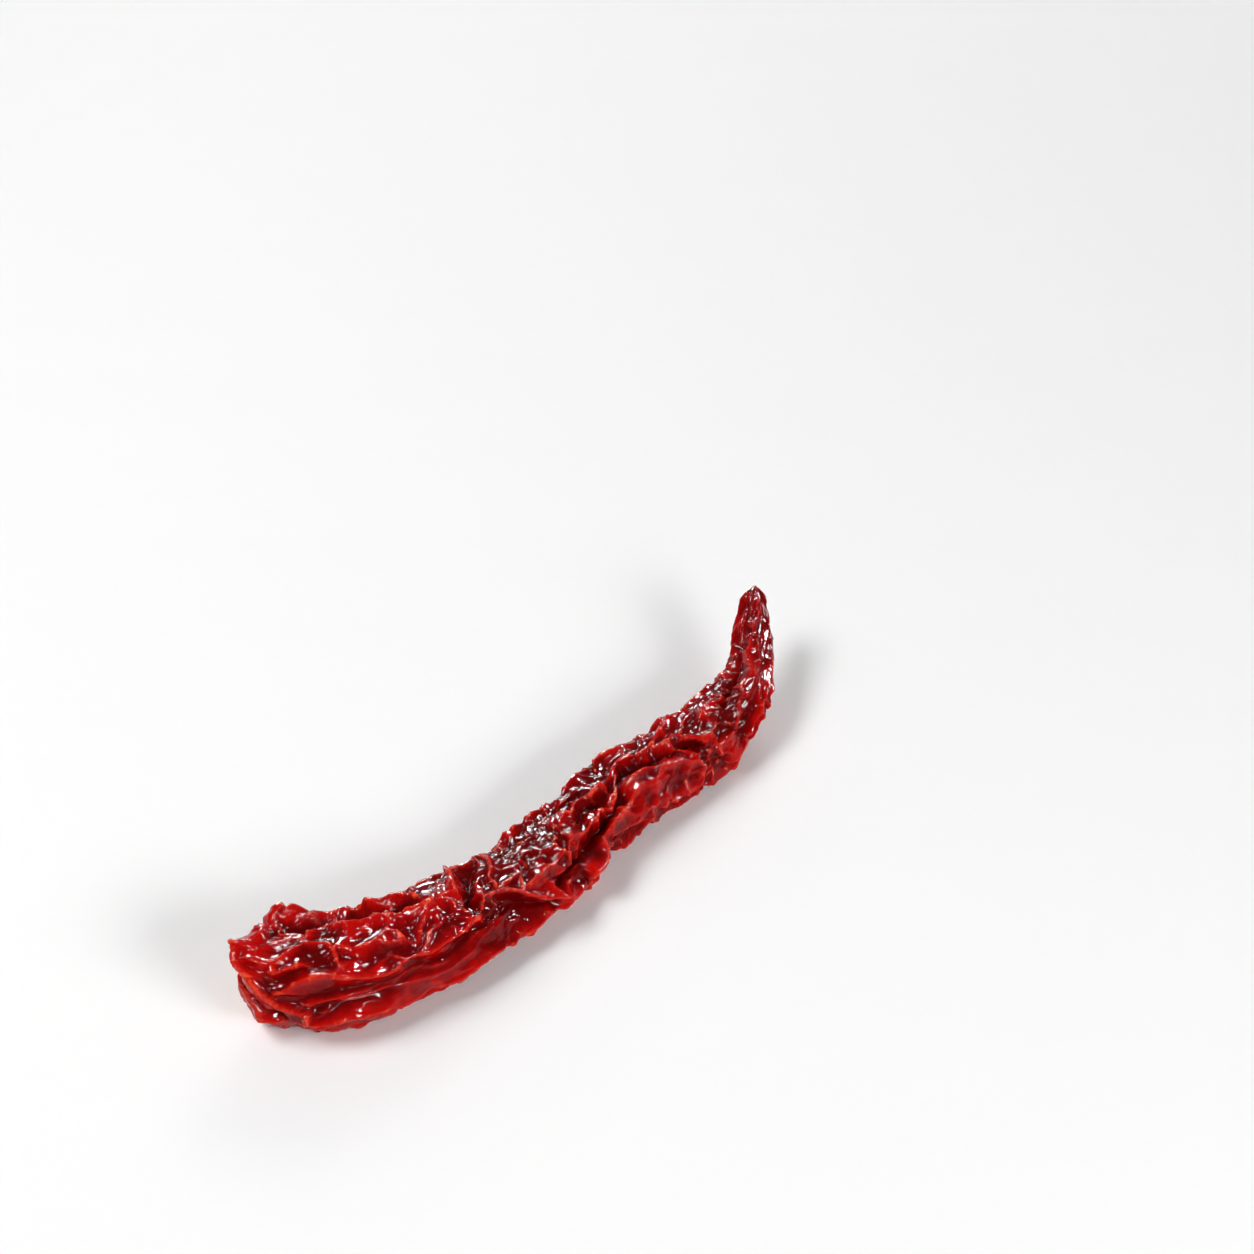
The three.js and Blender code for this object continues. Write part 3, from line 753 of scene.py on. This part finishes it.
def skinMaterial():
    look = skinLook
    material = bpy.data.materials.new("driedChilliSkin")
    tree = ShaderTree(material)
    place = tree.node("ShaderNodeTexCoord", output="Object")
    crest = tree.attribute("crest")
    ridge = tree.attribute("ridge")
    along = tree.attribute("along")
    scar = tree.attribute("scar")
    scarDistance = tree.attribute("scarDistance")

    blotch = tree.range(tree.noise(place, *skinNoises["blotch"]), 0.35, 0.65)
    mottle = tree.range(tree.noise(place, *skinNoises["mottle"]), 0.3, 0.7)
    stemShare = 1 - tree.range(along, 20, 75)
    # The blotch, mottle and stem-end terms are the skin's own tone. The ridge term is painted light and
    # shade: lighter on raised relief and darker in hollows.
    rednessAndReliefShade = tree.range(blotch * 0.45 + mottle * 0.3 + stemShare * 0.12 + ridge * 0.7, 0.1, 1.1)
    skin = tree.node("ShaderNodeValToRGB", {"stops": [
        (0.0, look["deep"]), (0.5, look["red"]), (1.0, look["bright"])]}, {"Fac": rednessAndReliefShade}, "Color")
    # Painted shade: the hollows of the relief (ridge below 0) and the dents between crests are mixed towards
    # the dark maroon fold colour.
    foldShare = tree.range(0 - ridge, -0.12, 0.5)
    dentShadeShare = tree.range(0 - crest, 0.05, 0.5)
    skin = tree.mix(foldShare * 0.7 + dentShadeShare * 0.25, skin, look["fold"])
    # Painted glow and highlight: the thin crests are mixed towards an orange red, as if lit through the skin.
    crestShare = tree.range(crest + ridge * 0.1, 0.3, 0.9)
    skin = tree.mix(crestShare * (0.35 + 0.5 * mottle), skin, look["crest"])
    # Painted glow and highlight: the sharpest crests get a paler orange red.
    edgeGlowShare = tree.range(crest, 0.75, 1.0)
    skin = tree.mix(edgeGlowShare * (0.1 + 0.6 * mottle), skin, look["edge"])
    flat = tree.attribute("flat", "Vector")
    lively = 1 - 0.85 * tree.attribute("calm")
    raised = tree.range(crest, 0.02, 0.4)
    netHeight = 0
    netShare = 0
    for net in wrinkleNets:
        line = wrinkleNet(tree, flat, net) * lively
        # Painted glow: the wrinkle lines on raised skin are tinted towards the edge colour.
        skin = tree.mix(line ** 3 * raised * net["glowTint"], skin, look["edge"])
        netHeight = line * net["height"] + netHeight
        netShare = line + netShare

    rings = tree.node("ShaderNodeMath", {"operation": "SINE"}, {
        0: scarDistance * look["scarRings"] + mottle * 2.5})
    corky = tree.range(rings * 0.3 + tree.noise(place, *skinNoises["cork"]) * 1.1, 0.25, 0.95)
    wood = tree.mix(corky, look["scarCream"], look["scarPale"])
    speck = tree.range(tree.noise(place, *skinNoises["speck"]), 0.62, 0.70)
    wood = tree.mix(speck * 0.8, wood, look["scarBrown"])
    pit = 1 - tree.range(scarDistance, 0.08, 0.3)
    wood = tree.mix(pit * 0.55, wood, look["scarBrown"])
    edgeNoise = tree.noise(place, *skinNoises["edge"])
    ragged = scarDistance + edgeNoise * 0.5 - 0.25
    rim = 1 - tree.range(ragged, 1.0, 1.45)
    skin = tree.mix(rim * 0.8, skin, look["scarRim"])
    wooden = 1 - tree.range(ragged, 0.86, 1.0)
    colour = tree.mix(wooden, skin, wood)

    grain = tree.noise(place, *skinNoises["grain"])
    pores = tree.noise(place, *skinNoises["pores"])
    height = netHeight * (1 - wooden) + (grain * 0.5 + pores * 1.2) * look["grainHeight"]
    bumpValues = {"Strength": 1.0, "Distance": metresPerMm, "Height": height}
    bump = tree.node("ShaderNodeBump", {}, bumpValues, "Normal")
    smoothRough, fullRough = look["roughness"]
    gloss = tree.range(crest * 0.7 + ridge * 0.3 + netShare * 0.5 + mottle * 0.15, -0.15, 0.35)
    rough = fullRough - gloss * (fullRough - smoothRough) + wooden * look["woodRoughness"]
    tree.surface({
        "Base Color": colour,
        "Roughness": rough,
        "Coat Weight": look["coat"] * gloss * (1 - wooden),
        "Coat Roughness": look["coatRoughness"],
        "Specular IOR Level": look["specular"],
        "Normal": bump,
    })
    return material


floorLook = {"Base Color": (0.93, 0.93, 0.93), "Roughness": 0.8, "Specular IOR Level": 0.1}


def paperMaterial():
    material = bpy.data.materials.new("paleFloor")
    tree = ShaderTree(material)
    tree.surface(floorLook)
    return material


stageLook = {
    "floorSize": 6.0,
    "worldColour": (1.0, 1.0, 1.0),
    "worldStrength": 0.12,
}
# The softboxes light the skin and the floor, and the panels show only as glints in the gloss
softboxes = {
    "key": {"place": (-0.35, 0.25, 0.65), "size": (0.40, 0.30), "watts": 3.8},
    "fill": {"place": (0.10, -0.75, 0.40), "size": (0.40, 0.25), "watts": 4.7},
    "back": {"place": (0.55, 0.45, 0.40), "size": (0.30, 0.25), "watts": 1.5},
}
panels = {
    "window": {"place": (-0.45, 0.35, 0.50), "size": (0.14, 0.10), "watts": 5.5},
    "skylight": {"place": (0.05, 0.30, 0.75), "size": (0.20, 0.045), "watts": 5.5},
    "frontStrip": {"place": (-0.25, -0.60, 0.45), "size": (0.16, 0.025), "watts": 3.2},
    "lowStrip": {"place": (-0.70, -0.25, 0.16), "size": (0.03, 0.06), "watts": 1.2},
    "sideStrip": {"place": (0.60, -0.20, 0.45), "size": (0.06, 0.20), "watts": 10.0},
    "rearStrip": {"place": (0.30, 0.65, 0.25), "size": (0.24, 0.05), "watts": 9.0},
}
# The camera stands as the photograph's did: the floor at podPoint, in mm, is seen at podPixel
photoView = {
    "azimuth": -40.5,
    "elevation": 45.0,
    "lens": 100.0,
    "sensor": 36.0,
    "frameWidth": 1254,  # of the photograph, in pixels
    "mmPerPixel": 0.19,
    "podPoint": (0.9, 17.6, 0.0),
    "podPixel": (491, 800),
    "clipStart": 0.01,
}


def makeStage():
    form = bmesh.new()
    bmesh.ops.create_grid(form, x_segments=1, y_segments=1, size=stageLook["floorSize"] / 2)
    mesh = bpy.data.meshes.new("floor")
    form.to_mesh(mesh)
    form.free()
    mesh.materials.append(paperMaterial())
    floor = newPiece("floor", mesh)
    world = bpy.data.worlds.new("softStudio")
    world.use_nodes = True
    background = world.node_tree.nodes["Background"]
    background.inputs["Color"].default_value = (*stageLook["worldColour"], 1)
    background.inputs["Strength"].default_value = stageLook["worldStrength"]
    bpy.context.scene.world = world


def makeLight(name, look):
    light = bpy.data.lights.new(name, "AREA")
    light.shape = "RECTANGLE"
    light.size, light.size_y = look["size"]
    light.energy = look["watts"]
    lamp = bpy.data.objects.new(name, light)
    lamp.location = look["place"]
    lamp.rotation_euler = (-Vector(look["place"])).to_track_quat("-Z", "Y").to_euler()
    bpy.context.scene.collection.objects.link(lamp)
    return lamp


def makeCamera():
    view = photoView
    azimuth = math.radians(view["azimuth"])
    elevation = math.radians(view["elevation"])
    back = Vector((math.sin(azimuth) * math.cos(elevation), -math.cos(azimuth) * math.cos(elevation),
                   math.sin(elevation)))
    right = Vector((math.cos(azimuth), math.sin(azimuth), 0))
    up = back.cross(right)
    pixel = view["mmPerPixel"] * metresPerMm
    middle = view["frameWidth"] / 2
    target = Vector(view["podPoint"]) * metresPerMm
    target += right * ((middle - view["podPixel"][0]) * pixel) + up * ((view["podPixel"][1] - middle) * pixel)
    data = bpy.data.cameras.new("photoCamera")
    data.lens = view["lens"]
    data.sensor_width = view["sensor"]
    data.clip_start = view["clipStart"]
    camera = bpy.data.objects.new("photoCamera", data)
    camera.location = target + back * (view["frameWidth"] * view["lens"] / view["sensor"] * pixel)
    camera.rotation_euler = back.to_track_quat("Z", "Y").to_euler()
    bpy.context.scene.collection.objects.link(camera)
    bpy.context.scene.camera = camera


makeCamera()
makeStage()
for lightName, lightLook in softboxes.items():
    makeLight(lightName, lightLook).visible_glossy = False
for lightName, lightLook in panels.items():
    makeLight(lightName, lightLook).visible_diffuse = False
bpy.context.scene.view_settings.view_transform = "Standard"
print("camera, floor and lights are made")

pod, formPlaces, podMarks = makePod()
podLinks = WallLinks(pod.data)
print("the pod's wall has", len(formPlaces), "points")
driedPlaces = dryWall(pod, formPlaces, podMarks)
podPlaces = tightenWall(pod.data, driedPlaces, podLinks, podMarks)
setPoints(pod.data, podPlaces * metresPerMm)
pod.data.shade_smooth()
for markName in ("along", "calm", "scar", "scarDistance", "flat"):
    addAttribute(pod.data, markName, podMarks[markName])
for markName, markValues in reliefOf(pod.data, podPlaces, podLinks).items():
    addAttribute(pod.data, markName, markValues)
pod.data.materials.append(skinMaterial())
print("the skin is finished")

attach(pod, "root")
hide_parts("pod")
